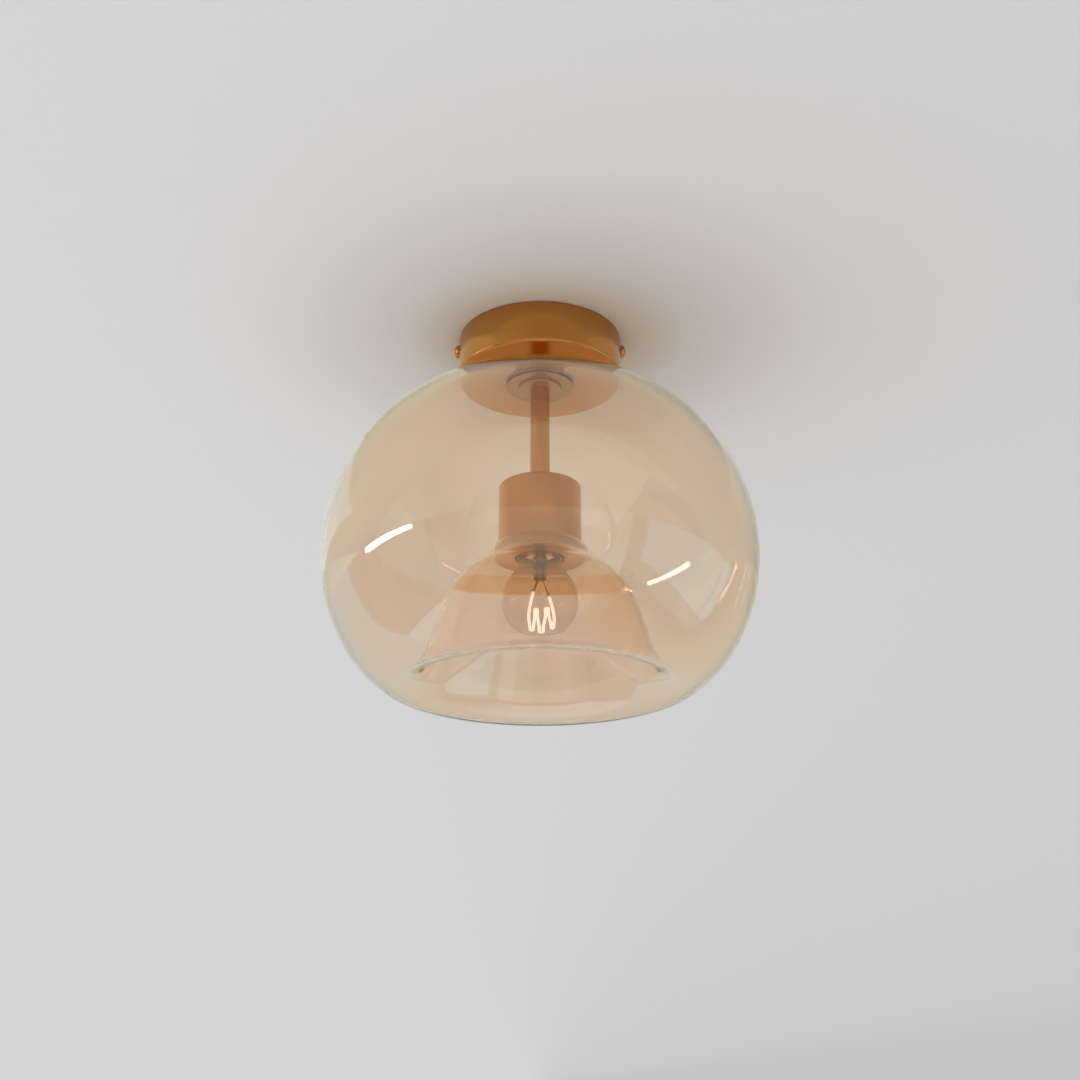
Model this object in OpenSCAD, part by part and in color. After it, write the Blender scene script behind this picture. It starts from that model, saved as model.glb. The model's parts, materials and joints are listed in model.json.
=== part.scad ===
// Flush ceiling light with a blown glass shade, a brass canopy and a screw-in globe lamp.
// The ceiling is the plane z = 0, the light hangs below it, and its axis is the Z axis.
// Threads are left plain: a screw and its hole are a smooth shank in a smooth bore.

/* [Canopy] */
// Outside diameter of the canopy
canopy_d = 100; // [90:1:130]
// Height of the canopy from the ceiling to its lower face
canopy_h = 26.5; // [24:0.5:40]
// Thickness of the canopy's spun sheet
canopy_wall = 1.2; // [0.8:0.1:2]
// Radius of the canopy's lower outside edge
canopy_edge_r = 2; // [1.6:0.1:4]
// Depth of the side screws below the ceiling
side_screw_drop = 6.2; // [5.5:0.1:9]
// Diameter of the side screws' domed heads
side_head_d = 8; // [6.5:0.5:10]
// How far the domed heads stand out
side_head_h = 3; // [2:0.1:4]
// Diameter of the side screws' shanks
side_shank_d = 3.9; // [3:0.1:5]
// Length of the side screws' shanks
side_shank_len = 8; // [7:0.5:12]
// Width of the driver slot in the side screws
side_slot_w = 1; // [0.6:0.1:1.4]
// Depth of the driver slot in the side screws
side_slot_depth = 1.2; // [0.6:0.1:1.6]

/* [Ceiling bracket] */
// Width of the bracket strap
strap_w = 16; // [14:1:20]
// Thickness of the bracket strap
strap_t = 1.5; // [1:0.1:2]
// Inside bend radius of the strap's ears
strap_bend_r = 1.5; // [1:0.1:3]
// Drop of the ears from the ceiling to their tips
ear_drop = 12; // [11:0.5:16]
// Distance between the two ceiling screw slots
slot_spacing = 70; // [64:1:76]
// End to end length of a ceiling screw slot
slot_len = 10; // [7:0.5:11]
// Width of a ceiling screw slot
slot_w = 4.5; // [4:0.1:5.5]
// Diameter of the strap's centre hole
strap_hole_d = 10.5; // [8:0.5:11]
// Distance of the earth screw from the axis
earth_x = 17; // [15:0.5:22]
// Diameter of the earth screw's shank
earth_shank_d = 3.9; // [3:0.1:4.5]
// Diameter of the earth screw's head
earth_head_d = 7; // [6:0.5:8]
// Height of the earth screw's head
earth_head_h = 2.4; // [1.5:0.1:3]
// Outside diameter of the earth lug's ring
lug_d = 8; // [7.5:0.5:9]
// Thickness of the earth lug's plate
lug_t = 0.8; // [0.5:0.1:1.2]
// Outside diameter of the earth lug's barrel
lug_barrel_d = 3.4; // [3:0.1:4]
// Length of the earth lug's barrel
lug_barrel_len = 5; // [4:0.5:7]

/* [Terminal block] */
// Distance of the terminal block's middle from the axis
block_x = 20; // [18:0.5:22]
// Length of the terminal block across its three ways
block_len = 27; // [26:0.5:32]
// Width of the terminal block along its ways
block_w = 14; // [12:0.5:16]
// Height of the terminal block
block_h = 11; // [10:0.5:13]
// Distance from one way to the next
block_pitch = 8.5; // [8:0.1:9.5]
// Height of the rounded turrets over the way screws
turret_h = 1.5; // [1:0.1:2.5]
// Diameter of a turret
turret_d = 6.5; // [6:0.1:7.5]
// Outside diameter of a brass insert
insert_d = 4.6; // [4.2:0.1:5]
// Bore of a brass insert
insert_bore = 3; // [2.4:0.1:3.2]
// Length of a brass insert
insert_len = 12; // [10:0.5:13]
// Diameter of a way screw
way_screw_d = 2.4; // [2:0.1:2.8]
// Distance between the two screws of one way
way_screw_gap = 6; // [5:0.1:7]
// Diameter of the screw that holds the block to the strap
block_screw_d = 2.5; // [2:0.1:3]
// Diameter of that screw's head
block_head_d = 4.4; // [4:0.1:5]
// Height of that screw's head
block_head_h = 1.6; // [1:0.1:2]

/* [Shade] */
// Widest diameter of the glass
shade_d = 254.4; // [230:0.2:280]
// Wall of the glass
shade_wall = 2.4; // [1.8:0.1:3.2]
// Radius of the shoulder arc above the widest point
shoulder_r = 110.6; // [100:0.2:118]
// Angle that the shoulder arc covers
shoulder_sweep = 55; // [45:1:65]
// Radius of the flatter crown arc above the shoulder
crown_r = 165; // [140:1:200]
// Radius of the flat seat under the canopy
seat_r = 22; // [21.5:0.5:26]
// Radius of the belly arc below the widest point
belly_r = 105; // [96:0.5:115]
// Angle that the belly arc covers
belly_sweep = 33.6; // [28:0.2:38]
// Radius of the tuck arc under the belly
tuck_r = 65; // [58:0.5:75]
// Angle that the tuck arc covers
tuck_sweep = 25.4; // [20:0.2:30]
// Radius of the lip arc that turns the rim in
lip_r = 13.4; // [10:0.2:18]
// Angle that the lip arc covers
lip_sweep = 64; // [40:1:75]
// Diameter of the hole in the glass seat
shade_hole_d = 13; // [12.6:0.2:16]

/* [Shade clamp] */
// Thickness of the soft gaskets above and below the glass
gasket_t = 0.4; // [0.3:0.1:1]
// Diameter of the soft gaskets
gasket_d = 38; // [32:1:40]
// Diameter of the metal washer under the glass
shade_washer_d = 41.2; // [38:0.2:43]
// Thickness of that washer
shade_washer_t = 0.8; // [0.6:0.1:1.5]
// Diameter of the round nut under the washer
shade_nut_d = 27; // [22:0.5:30]
// Height of the round nut
shade_nut_h = 2; // [1.5:0.1:4]
// Chamfer round the nut's lower edge
shade_nut_chamfer = 0.6; // [0.2:0.1:1]
// Diameter of the toothed washer inside the canopy
star_d = 18; // [15:0.5:20]
// Thickness of the toothed washer
star_t = 0.8; // [0.5:0.1:1]
// Number of teeth on the toothed washer
star_teeth = 12; // [8:1:16]
// Width across the flats of the hexagon nuts
hex_af = 14; // [13:0.5:17]
// Height of the hexagon nuts
hex_h = 3; // [2.5:0.1:4]

/* [Stem] */
// Outside diameter of the stem
stem_d = 12; // [11.6:0.1:14]
// Length of the stem
stem_len = 65.7; // [50:0.1:90]
// Outside diameter of the threaded nipples
nipple_d = 9.8; // [9:0.1:10]
// Bore of the threaded nipples
nipple_bore = 7; // [6.5:0.1:7.4]
// How far a nipple reaches into the stem
nipple_grip = 20; // [12:1:24]
// How far a nipple stands past its nut
nipple_proud = 1.5; // [1:0.1:3]

/* [Cup] */
// Outside diameter of the lampholder cup
cup_d = 49.2; // [46:0.2:56]
// Length of the cup from its top to the ring's lower face
cup_h = 46.1; // [44:0.1:56]
// Wall of the cup
cup_wall = 1.2; // [0.8:0.1:2]
// Radius of the cup's upper edge
cup_edge_r = 1.4; // [1.3:0.1:3]
// Outside diameter of the ring round the cup's mouth
ring_d = 53.4; // [52:0.2:58]
// Height of the ring
ring_h = 6.2; // [4:0.1:10]
// Thickness of the ring's floor
ring_floor = 1.2; // [0.8:0.1:2]
// Radius of the ring's rounded edges
ring_edge_r = 1; // [0.4:0.1:1.4]
// Diameter of the hole that the lamp passes
ring_hole_d = 29.2; // [28.8:0.1:33]

/* [Lampholder] */
// Outside diameter of the holder's cap
holder_d = 39; // [38:0.5:42]
// Height of the holder's cap
holder_cap_h = 10; // [9:0.5:14]
// Wall of the holder's cap
holder_wall = 1.8; // [1.5:0.1:2.5]
// Thickness of the holder cap's top
holder_top = 2; // [1.5:0.1:3]
// Depth of the contact block below the cap's mouth
block_seat = 4; // [3:0.1:6]
// Thickness of the ceramic contact block
contact_block_t = 6; // [5:0.5:8]
// Outside diameter of the sleeve's lower part
sleeve_d = 32.6; // [31:0.2:36]
// Bore of the sleeve
sleeve_bore = 28.2; // [28:0.1:28.6]
// Height of the sleeve's wide collar below the contact block
sleeve_collar = 2.6; // [2:0.1:5]
// Thickness of the screw shell's sheet
shell_t = 0.4; // [0.3:0.1:0.6]
// Length of the screw shell
shell_len = 21; // [18:0.5:23]
// Width of the screw shell's top flange
shell_flange = 2.6; // [1.5:0.1:4]
// Distance of the holder's terminals from the axis
terminal_y = 9; // [8:0.1:11]
// Distance of a terminal screw from its wire
terminal_step = 5; // [4.2:0.1:6]
// Diameter of a terminal screw's shank
terminal_screw_d = 2.6; // [2:0.1:3]
// Diameter of a terminal screw's head
terminal_head_d = 4.6; // [4:0.1:5.4]
// Height of a terminal screw's head
terminal_head_h = 1.6; // [1:0.1:1.9]
// Length of a terminal screw's shank
terminal_shank_len = 4; // [3:0.5:5]
// Diameter of the centre contact's rivet
rivet_d = 3; // [2:0.1:4]
// Length of the centre contact's strip
tongue_len = 12; // [10:0.5:14]
// Width of the centre contact's strip
tongue_w = 5; // [4:0.1:6]
// Thickness of the centre contact's strip
tongue_t = 0.5; // [0.3:0.1:0.8]
// Depth of the centre contact's dimple
dimple_h = 0.8; // [0.5:0.1:1.5]
// Diameter of the centre contact's dimple
dimple_d = 4; // [3:0.1:4.8]

/* [Lamp] */
// Diameter of the lamp's globe
globe_d = 45; // [44:0.5:48]
// Length of the lamp from its contact to the bottom of the globe
lamp_len = 74.5; // [72:0.5:84]
// Wall of the lamp's glass
globe_wall = 0.8; // [0.6:0.1:1]
// Outside diameter of the glass neck
neck_d = 24.8; // [24:0.1:25]
// Radius of the fillet from neck to globe
neck_fillet = 12; // [9:0.5:15]
// Outside diameter of the screw cap
cap_d = 26.4; // [26:0.1:26.6]
// Length of the screw cap with its contact
cap_len = 26.5; // [25:0.5:28]
// Thickness of the screw cap's sheet
cap_t = 0.5; // [0.4:0.1:0.6]
// Height of the contact pip
pip_h = 1.2; // [0.8:0.1:1.6]
// Diameter of the contact pip
pip_d = 9.6; // [9:0.1:11.5]
// Height of the black insulator below the pip
insulator_h = 4; // [3:0.1:5]
// Diameter of the insulator at its lower edge
insulator_d = 21.6; // [20:0.2:23]
// Depth of the driver board below the insulator
board_drop = 5; // [3:0.5:7]
// Diameter of the driver board
board_d = 20; // [16:0.5:22]
// Thickness of the driver board
board_t = 1.2; // [1:0.1:1.6]
// Diameter of the glass tube that carries the leads
mount_tube_d = 8; // [7:0.2:10]
// Width of the flattened press at the end of that tube
press_w = 8; // [7:0.2:10]
// Thickness of the press
press_t = 3; // [2.4:0.1:4]
// Height of the press
press_h = 5; // [4:0.2:7]
// How far the press ends above the middle of the globe
press_rise = 13; // [12:0.2:16]
// Distance between the two leads in the press
lead_gap = 3.2; // [2.8:0.1:4.5]
// Diameter of the lead wires
lead_d = 0.7; // [0.5:0.1:1]
// Diameter of the flexible filament
filament_d = 2; // [1.4:0.1:2.4]
// Length of the metal clips at the filament's ends
clip_len = 1.6; // [1:0.1:2.4]

/* [Wiring] */
// Diameter of an insulated wire
wire_d = 1.8; // [1.4:0.1:2]
// Distance between the two lamp wires in the stem
wire_gap = 2.6; // [2.2:0.1:3]
// Depth of a wire's end in its brass insert
wire_in = 4; // [2:0.5:5]

/* [Fits] */
// Gap between pieces that slide over each other when fitted
fit_gap = 0.1; // [0.05:0.01:0.15]
// Gap between the side screws and the strap's ears
screw_gap = 0.05; // [0.02:0.01:0.1]
// Gap between pieces that move past each other or nearly touch
free_gap = 0.3; // [0.2:0.05:0.4]

/* [Hidden] */
$fn = 96;

// Finishes
brass_colour = "#b0763c";
glass_colour = "#e0b98c";
steel_colour = "#b9bcc0";
nylon_colour = "#ece9e0";
black_colour = "#2a2a2c";
clear_colour = "#d8cfc4";

// Canopy and strap
canopy_r = canopy_d / 2;
canopy_in_r = canopy_r - canopy_wall;
nipple_r = nipple_d / 2;
clamp_bore_r = nipple_r + fit_gap;
ear_x = sqrt(pow(canopy_in_r, 2) - pow(strap_w / 2, 2)) - free_gap;
side_shank_r = side_shank_d / 2;
side_head_x = canopy_r + free_gap;

// Levels of the clamped stack, from the canopy's floor down to the stem
floor_top_z = canopy_wall - canopy_h;
nut_top_z = floor_top_z + star_t + hex_h;
seat_z = -canopy_h - gasket_t;
under_glass_z = seat_z - shade_wall;
washer_z = under_glass_z - gasket_t;
shade_nut_z = washer_z - shade_washer_t;
stem_top_z = shade_nut_z - shade_nut_h;
cup_top_z = stem_top_z - stem_len;

// Arcs of the glass outline: each centre lies on the last arc's end radius
shoulder_c_x = shade_d / 2 - shoulder_r;
crown_c_x = shoulder_c_x + (shoulder_r - crown_r) * cos(shoulder_sweep);
shade_rise = (shoulder_r - crown_r) * sin(shoulder_sweep)
  + sqrt(pow(crown_r, 2) - pow(seat_r - crown_c_x, 2));
belly_z = seat_z - shade_rise;
shoulder_c = [shoulder_c_x, belly_z];
crown_c = arc_next(shoulder_c, shoulder_r, crown_r, shoulder_sweep);
crown_end = acos((seat_r - crown_c[0]) / crown_r);
belly_c = [shade_d / 2 - belly_r, belly_z];
tuck_start = -belly_sweep;
tuck_c = arc_next(belly_c, belly_r, tuck_r, tuck_start);
lip_start = tuck_start - tuck_sweep;
lip_c = arc_next(tuck_c, tuck_r, lip_r, lip_start);
lip_end = lip_start - lip_sweep;

// Levels of the cup and lampholder
cup_under_z = cup_top_z - cup_wall;
holder_top_z = cup_under_z - hex_h;
holder_mouth_z = holder_top_z - holder_cap_h;
block_low_z = holder_mouth_z - block_seat;
block_top_z = block_low_z + contact_block_t;
cup_low_z = cup_top_z - cup_h;
ring_floor_z = cup_low_z + ring_floor;
dimple_z = block_low_z - tongue_t - dimple_h;
cup_r = cup_d / 2;
holder_r = holder_d / 2;
contact_block_r = holder_r - holder_wall - free_gap;
shell_top_z = block_low_z - free_gap;
shell_r = sleeve_bore / 2 - fit_gap;

// Levels of the lamp
lamp_top_z = dimple_z - free_gap;
globe_r = globe_d / 2;
globe_z = lamp_top_z - lamp_len + globe_r;
cap_low_z = lamp_top_z - cap_len;
insulator_top_z = lamp_top_z - pip_h;
cap_top_z = insulator_top_z - insulator_h;
board_z = cap_top_z - board_drop;
neck_r = neck_d / 2;
fillet_x = neck_r + neck_fillet;
fillet_z = globe_z + sqrt(pow(globe_r + neck_fillet, 2) - pow(fillet_x, 2));
fillet_angle = atan2(fillet_z - globe_z, fillet_x);
neck_top_z = cap_low_z + 7;
press_z = globe_z + press_rise;
press_top_z = press_z + press_h;
flare_z = fillet_z + 1;
lead_low_z = press_z - 1;

// Filament's route below the middle of the globe: right, back and up from the globe's centre
filament_points = [
  [-4.2, 0, 5.6], [-6, 0.5, 1], [-7.6, 1, -5], [-7, 2, -12], [-5, 3, -16.4], [-3.6, 2, -12], [-2.2, 0, -4.2],
  [-0.8, 2, -10], [0.7, 4, -17.2], [2.3, 2, -11], [3.9, 0, -4], [5, 1, -9.5], [6.6, 2.4, -15],
  [8.3, 1.5, -10], [8.4, 0.8, -5.5], [6.8, 0.3, 0.5], [5.3, 0, 3.2]
];

// Wire routes: from a terminal way, over the nipple's edge, down the stem and out to the holder's terminals
wire_end_x = block_x - block_w / 2 + wire_in;
way_z = -strap_t - block_h / 2 - turret_h / 2;
function lamp_wire_route(s) = [
  [wire_end_x, s * block_pitch, way_z],
  [block_x - block_w / 2 - 1.5, s * block_pitch, way_z],
  [block_x - block_w / 2 - 5, s * block_pitch * 0.8, way_z - 0.4],
  [4, s * block_pitch * 0.5, way_z - 1.6],
  [1.2, s * (wire_gap / 2 + 0.6), nut_top_z + nipple_proud + 2.4],
  [0, s * wire_gap / 2, nut_top_z + nipple_proud - 1.5],
  [0, s * wire_gap / 2, stem_top_z - nipple_grip],
  [0, s * wire_gap / 2, cup_top_z],
  [0, s * wire_gap / 2, nipple_low_z + 1],
  [0, s * (wire_gap / 2 + 0.5), nipple_low_z - 1],
  [0, s * (terminal_y - 2.4), block_top_z + 1.8],
  [0, s * (terminal_y - 0.4), block_top_z + 0.4],
  [0, s * terminal_y, block_top_z - 1.2],
  [0, s * terminal_y, block_top_z - 3]
];
nipple_low_z = holder_top_z - holder_top - nipple_proud;
lug_barrel_x = -earth_x + lug_d / 2 + lug_barrel_len;
lug_barrel_z = -strap_t - lug_t / 2 - lug_barrel_d / 2;
earth_wire_route = [
  [wire_end_x, 0, way_z],
  [block_x - block_w / 2 - 1.5, 0, way_z],
  [7, 0, way_z + 0.3],
  [0, 0, (way_z + lug_barrel_z) / 2],
  [lug_barrel_x + 3, 0, lug_barrel_z - 0.3],
  [lug_barrel_x, 0, lug_barrel_z],
  [lug_barrel_x - lug_barrel_len / 2, 0, lug_barrel_z]
];

// Plane outlines, drawn as radius across and height up

// Centre of the arc of radius r2 that goes on from an arc of radius r1 at angle a
function arc_next(c, r1, r2, a) = c + (r1 - r2) * [cos(a), sin(a)];
// Point at radius r and angle a round the centre c
function arc_end(c, r, a) = c + r * [cos(a), sin(a)];

// Wall of thickness t inside an arc of radius r, from angle a0 to angle a1
module arc_wall(c, r, t, a0, a1) {
  mid = (a0 + a1) / 2;
  intersection() {
    translate(c)
      difference() {
        circle(r = r);
        circle(r = r - t);
      }
    polygon([
      c, arc_end(c, r - 2 * t, a0), arc_end(c, r + t, a0),
      arc_end(c, r * 1.6, mid),
      arc_end(c, r + t, a1), arc_end(c, r - 2 * t, a1)
    ]);
  }
}

// Drum of radius r from z_low up to z_high, with its lower outside edge rounded to edge_r
module drum(r, z_low, z_high, edge_r) {
  translate([0, z_low + edge_r])
    square([r, z_high - z_low - edge_r]);
  translate([0, z_low])
    square([r - edge_r, edge_r]);
  translate([r - edge_r, z_low + edge_r])
    circle(r = edge_r);
}

// Solid building blocks

module tube(r_out, r_in, z_low, z_high) {
  translate([0, 0, z_low])
    difference() {
      cylinder(r = r_out, h = z_high - z_low);
      translate([0, 0, -1])
        cylinder(r = r_in, h = z_high - z_low + 2);
    }
}

module peg(r, z_low, z_high) {
  translate([0, 0, z_low])
    cylinder(r = r, h = z_high - z_low);
}

// Hexagon nut across the flats af, with its plain bore
module hex_nut(af, bore_r, z_low, z_high) {
  translate([0, 0, z_low])
    difference() {
      cylinder(r = af / 2 / cos(30), h = z_high - z_low, $fn = 6);
      translate([0, 0, -1])
        cylinder(r = bore_r, h = z_high - z_low + 2);
    }
}

// Round rod from point p to point q
module rod(p, q, r) {
  d = q - p;
  translate(p)
    rotate([0, acos(d[2] / norm(d)), atan2(d[1], d[0])])
      cylinder(r = r, h = norm(d));
}

// Smooth curve through points: each span is cut into n steps
function spline_at(a, b, c, d, t) =
  0.5 * (2 * b + (c - a) * t + (2 * a - 5 * b + 4 * c - d) * t * t + (3 * b - a - 3 * c + d) * t * t * t);
function smooth_path(p, n) = concat(
  [for (i = [0 : len(p) - 2], k = [0 : n - 1])
    spline_at(p[max(i - 1, 0)], p[i], p[i + 1], p[min(i + 2, len(p) - 1)], k / n)],
  [p[len(p) - 1]]
);
function unit(v) = v / norm(v);
function path_dir(p, i) = unit(p[min(i + 1, len(p) - 1)] - p[max(i - 1, 0)]);
function turned(n, dir) = unit(n - dir * (n * dir));

// Round tube swept along a path, without twist
module swept_tube(path, r, sides) {
  last = len(path) - 1;
  first_dir = path_dir(path, 0);
  start = turned(abs(first_dir[1]) < 0.9 ? [0, 1, 0] : [1, 0, 0], first_dir);
  normals = [for (i = 0, n = start; i <= last; i = i + 1, n = i <= last ? turned(n, path_dir(path, i)) : n) n];
  rings = [for (i = [0 : last], k = [0 : sides - 1])
    path[i] + r * (cos(k * 360 / sides) * normals[i]
      + sin(k * 360 / sides) * cross(path_dir(path, i), normals[i]))];
  sides_faces = [for (i = [0 : last - 1], k = [0 : sides - 1], half = [0, 1])
    let (a = i * sides + k, b = i * sides + (k + 1) % sides)
      half == 0 ? [a, a + sides, b] : [b, a + sides, b + sides]];
  caps = concat(
    [for (k = [1 : sides - 2]) [0, k, k + 1]],
    [for (k = [1 : sides - 2]) [last * sides, last * sides + k + 1, last * sides + k]]
  );
  polyhedron(points = rings, faces = concat(sides_faces, caps), convexity = 8);
}

// Ceiling bracket and what it carries

module slot_cut(x) {
  translate([x, 0, -strap_t - 1])
    linear_extrude(strap_t + 2)
      union() {
        square([slot_len - slot_w, slot_w], center = true);
        for (s = [-1, 1])
          translate([s * (slot_len - slot_w) / 2, 0])
            circle(d = slot_w);
      }
}

module strap_outline(x, z_high, r) {
  translate([-x, -ear_drop - 1])
    square([2 * x, ear_drop + 1 + z_high - r]);
  translate([-x + r, z_high - r])
    square([2 * (x - r), r]);
  for (s = [-1, 1])
    translate([s * (x - r), z_high - r])
      circle(r = r);
}

module ceiling_bracket() {
  color(steel_colour)
    difference() {
      translate([0, strap_w / 2, 0])
        rotate([90, 0, 0])
          linear_extrude(strap_w)
            intersection() {
              difference() {
                strap_outline(ear_x, 0, strap_bend_r + strap_t);
                strap_outline(ear_x - strap_t, -strap_t, strap_bend_r);
              }
              translate([-ear_x - 1, -ear_drop])
                square([2 * ear_x + 2, ear_drop + 1]);
            }
      for (s = [-1, 1])
        slot_cut(s * slot_spacing / 2);
      peg(strap_hole_d / 2, -strap_t - 1, 1);
      translate([-earth_x, 0, 0])
        peg(earth_shank_d / 2 + fit_gap, -strap_t - 1, 1);
      translate([block_x, block_pitch / 2, 0])
        peg(block_screw_d / 2 + fit_gap, -strap_t - 1, 1);
      for (s = [-1, 1])
        translate([s * (ear_x - strap_t / 2), 0, -side_screw_drop])
          rotate([0, 90, 0])
            cylinder(r = side_shank_r + screw_gap, h = strap_t + 2, center = true);
    }
}

module earth_screw() {
  color(brass_colour)
    translate([-earth_x, 0, 0]) {
      peg(earth_shank_d / 2, -strap_t - lug_t, 0);
      rotate_extrude()
        drum(earth_head_d / 2, -strap_t - lug_t - earth_head_h, -strap_t - lug_t, 0.6);
    }
}

module earth_lug() {
  color(steel_colour)
    difference() {
      union() {
        translate([-earth_x, 0, 0])
          peg(lug_d / 2, -strap_t - lug_t, -strap_t);
        translate([-earth_x, -lug_barrel_d / 2, -strap_t - lug_t])
          cube([lug_d / 2 + lug_barrel_len, lug_barrel_d, lug_t]);
        translate([lug_barrel_x - lug_barrel_len, 0, lug_barrel_z])
          rotate([0, 90, 0])
            cylinder(d = lug_barrel_d, h = lug_barrel_len);
      }
      translate([-earth_x, 0, 0])
        peg(earth_shank_d / 2 + fit_gap, -strap_t - lug_t - 1, 0);
      translate([-earth_x, 0, 0])
        peg(earth_head_d / 2 + fit_gap, -strap_t - lug_t - earth_head_h - 1, -strap_t - lug_t);
      translate([lug_barrel_x - lug_barrel_len - 1, 0, lug_barrel_z])
        rotate([0, 90, 0])
          cylinder(d = wire_d + 2 * fit_gap, h = lug_barrel_len + 2);
    }
}

module way_places() {
  for (i = [-1, 0, 1])
    translate([block_x, i * block_pitch, 0])
      children();
}

module way_screw_places() {
  for (s = [-1, 1])
    translate([s * way_screw_gap / 2, 0, 0])
      children();
}

block_low = -strap_t - block_h - turret_h;

module terminal_block() {
  color(nylon_colour)
    difference() {
      union() {
        translate([block_x - block_w / 2, -block_len / 2, -strap_t - block_h])
          cube([block_w, block_len, block_h]);
        way_places()
          way_screw_places()
            peg(turret_d / 2 - 0.4, block_low, -strap_t - block_h);
      }
      way_places() {
        translate([-block_w / 2 - 1, 0, way_z])
          rotate([0, 90, 0])
            cylinder(d = insert_d + 2 * fit_gap, h = block_w + 2);
        way_screw_places()
          peg(way_screw_d / 2 + fit_gap, block_low - 1, way_z);
      }
      for (s = [-1, 1])
        translate([block_x, s * block_pitch / 2, 0])
          peg(block_screw_d / 2 + fit_gap, block_low - 1, 0);
    }
}

module terminal_inserts() {
  color(brass_colour)
    way_places()
      difference() {
        translate([-insert_len / 2, 0, way_z])
          rotate([0, 90, 0])
            cylinder(d = insert_d, h = insert_len);
        translate([-insert_len / 2 - 1, 0, way_z])
          rotate([0, 90, 0])
            cylinder(d = insert_bore, h = insert_len + 2);
        way_screw_places()
          peg(way_screw_d / 2 + fit_gap, way_z - insert_d, way_z);
      }
}

module terminal_screws() {
  color(steel_colour)
    way_places()
      way_screw_places()
        difference() {
          peg(way_screw_d / 2, block_low + 0.6, way_z - wire_d / 2 - fit_gap);
          translate([-way_screw_d, -0.25, block_low])
            cube([2 * way_screw_d, 0.5, 1.2]);
        }
}

module block_screw() {
  color(steel_colour)
    translate([block_x, block_pitch / 2, 0]) {
      peg(block_screw_d / 2, -strap_t - block_h, -free_gap);
      rotate_extrude()
        drum(block_head_d / 2, -strap_t - block_h - block_head_h, -strap_t - block_h, 0.4);
    }
}

// Canopy, its side screws and the clamp that holds the glass

module canopy() {
  color(brass_colour)
    difference() {
      rotate_extrude()
        difference() {
          drum(canopy_r, -canopy_h, 0, canopy_edge_r);
          drum(canopy_in_r, floor_top_z, 1, canopy_edge_r - canopy_wall);
        }
      peg(clamp_bore_r, -canopy_h - 1, 0);
      for (s = [-1, 1])
        translate([s * canopy_r, 0, -side_screw_drop])
          rotate([0, 90, 0])
            cylinder(r = side_shank_r + free_gap, h = 4 * canopy_wall, center = true);
    }
}

// Domed screw that points inwards: side is -1 on the left and 1 on the right
module side_screw(side) {
  dome_r = (pow(side_head_d / 2, 2) + pow(side_head_h * 0.75, 2)) / (1.5 * side_head_h);
  color(brass_colour)
    translate([side * side_head_x, 0, -side_screw_drop])
      rotate([0, side * 90, 0])
        difference() {
          union() {
            rotate_extrude()
              intersection() {
                square([side_head_d / 2, side_head_h]);
                translate([0, side_head_h - dome_r])
                  circle(r = dome_r);
              }
            peg(side_shank_r, -side_shank_len, 0);
          }
          translate([-side_slot_w / 2, -side_head_d, side_head_h - side_slot_depth])
            cube([side_slot_w, 2 * side_head_d, side_slot_depth + 1]);
        }
}

module canopy_screw_left() {
  side_screw(-1);
}

module canopy_screw_right() {
  side_screw(1);
}

module canopy_nipple() {
  color(steel_colour)
    tube(nipple_r, nipple_bore / 2, stem_top_z - nipple_grip, nut_top_z + nipple_proud);
}

module canopy_nut() {
  color(steel_colour)
    hex_nut(hex_af, clamp_bore_r, floor_top_z + star_t, nut_top_z);
}

module star_washer() {
  color(steel_colour)
    difference() {
      tube(star_d / 2, clamp_bore_r, floor_top_z, floor_top_z + star_t);
      for (i = [0 : star_teeth - 1])
        rotate([0, 0, i * 360 / star_teeth])
          translate([star_d / 2, 0, 0])
            peg(star_d * 0.08, floor_top_z - 1, floor_top_z + star_t + 1);
    }
}

module seat_gasket() {
  color(clear_colour)
    tube(gasket_d / 2, clamp_bore_r, seat_z, -canopy_h);
}

module glass_shade() {
  lip_mid = lip_c + (lip_r - shade_wall / 2) * [cos(lip_end), sin(lip_end)];
  color(glass_colour, 0.5)
    rotate_extrude($fn = 160)
      union() {
        translate([shade_hole_d / 2, under_glass_z])
          square([seat_r - shade_hole_d / 2, shade_wall]);
        arc_wall(crown_c, crown_r, shade_wall, shoulder_sweep, crown_end);
        arc_wall(shoulder_c, shoulder_r, shade_wall, 0, shoulder_sweep);
        arc_wall(belly_c, belly_r, shade_wall, tuck_start, 0);
        arc_wall(tuck_c, tuck_r, shade_wall, lip_start, tuck_start);
        arc_wall(lip_c, lip_r, shade_wall, lip_end, lip_start);
        translate(lip_mid)
          circle(d = shade_wall);
      }
}

module shade_bush() {
  color(nylon_colour)
    tube(shade_hole_d / 2 - fit_gap, clamp_bore_r, under_glass_z, seat_z);
}

module shade_gasket() {
  color(clear_colour)
    tube(gasket_d / 2, clamp_bore_r, washer_z, under_glass_z);
}

module shade_washer() {
  color(steel_colour)
    tube(shade_washer_d / 2, clamp_bore_r, shade_nut_z, washer_z);
}

module shade_nut() {
  color(steel_colour)
    rotate_extrude()
      polygon([
        [clamp_bore_r, shade_nut_z],
        [shade_nut_d / 2, shade_nut_z],
        [shade_nut_d / 2, stem_top_z + shade_nut_chamfer],
        [shade_nut_d / 2 - shade_nut_chamfer, stem_top_z],
        [clamp_bore_r, stem_top_z]
      ]);
}

module stem() {
  color(brass_colour)
    tube(stem_d / 2, clamp_bore_r, cup_top_z, stem_top_z);
}

// Wires

module live_wire() {
  color("#6b3f22")
    swept_tube(smooth_path(lamp_wire_route(1), 4), wire_d / 2, 8);
}

module neutral_wire() {
  color("#2f62b0")
    swept_tube(smooth_path(lamp_wire_route(-1), 4), wire_d / 2, 8);
}

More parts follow.
